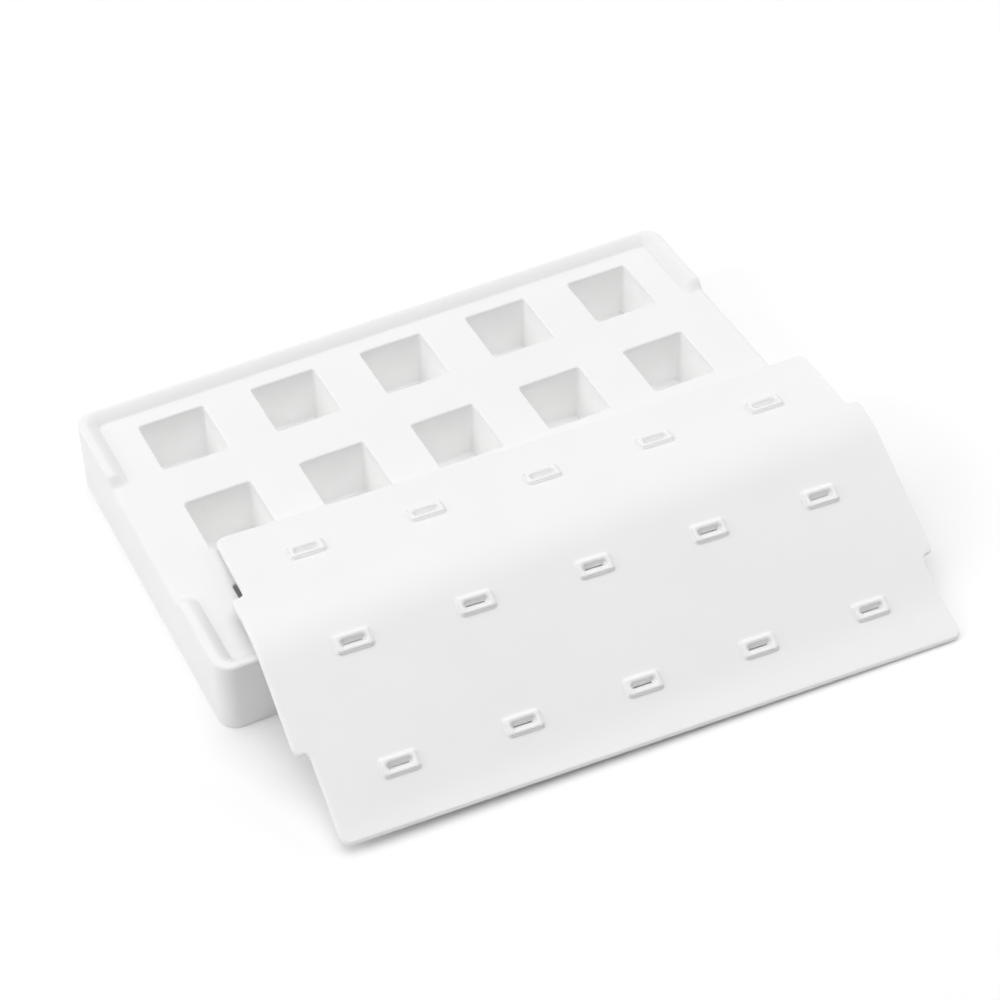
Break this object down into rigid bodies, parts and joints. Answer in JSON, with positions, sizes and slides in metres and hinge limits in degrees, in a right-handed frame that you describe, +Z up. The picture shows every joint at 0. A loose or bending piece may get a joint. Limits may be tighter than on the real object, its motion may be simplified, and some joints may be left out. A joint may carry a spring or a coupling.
{
  "type": "silicone bar mould with slotted lid",
  "caption": "Rectangular silicone mould tray of square bar cavities inside a low rim, with a flexible slotted lid draped over its front edge.",
  "frame": {"origin": "centre of the tray's underside, on the surface that the mould stands on", "axes": "+X along the tray's long side, +Y away from the side that the lid hangs over, +Z up out of the cavities"},
  "size_m": [0.3171, 0.2686, 0.0447],
  "materials": {
    "tray_silicone": "satin white platinum-cured silicone",
    "lid_silicone": "satin white platinum-cured silicone"
  },
  "bodies": {
    "tray": {"mould_tray": "tray_silicone"},
    "lid_rear": {"lid_rear_panel": "lid_silicone"},
    "lid_front": {"lid_front_panel": "lid_silicone"}
  },
  "joints": [
    {"name": "lid_lift", "type": "slide", "parent": "tray", "child": "lid_rear", "axis": [0, 0, 1], "range_m": [0, 0.12]},
    {"name": "lid_flex", "type": "hinge", "parent": "lid_rear", "child": "lid_front", "pos_m": [0.0147, -0.08118, 0.04389], "axis": [-1, 0, 0], "range_deg": [0, 31]}
  ]
}
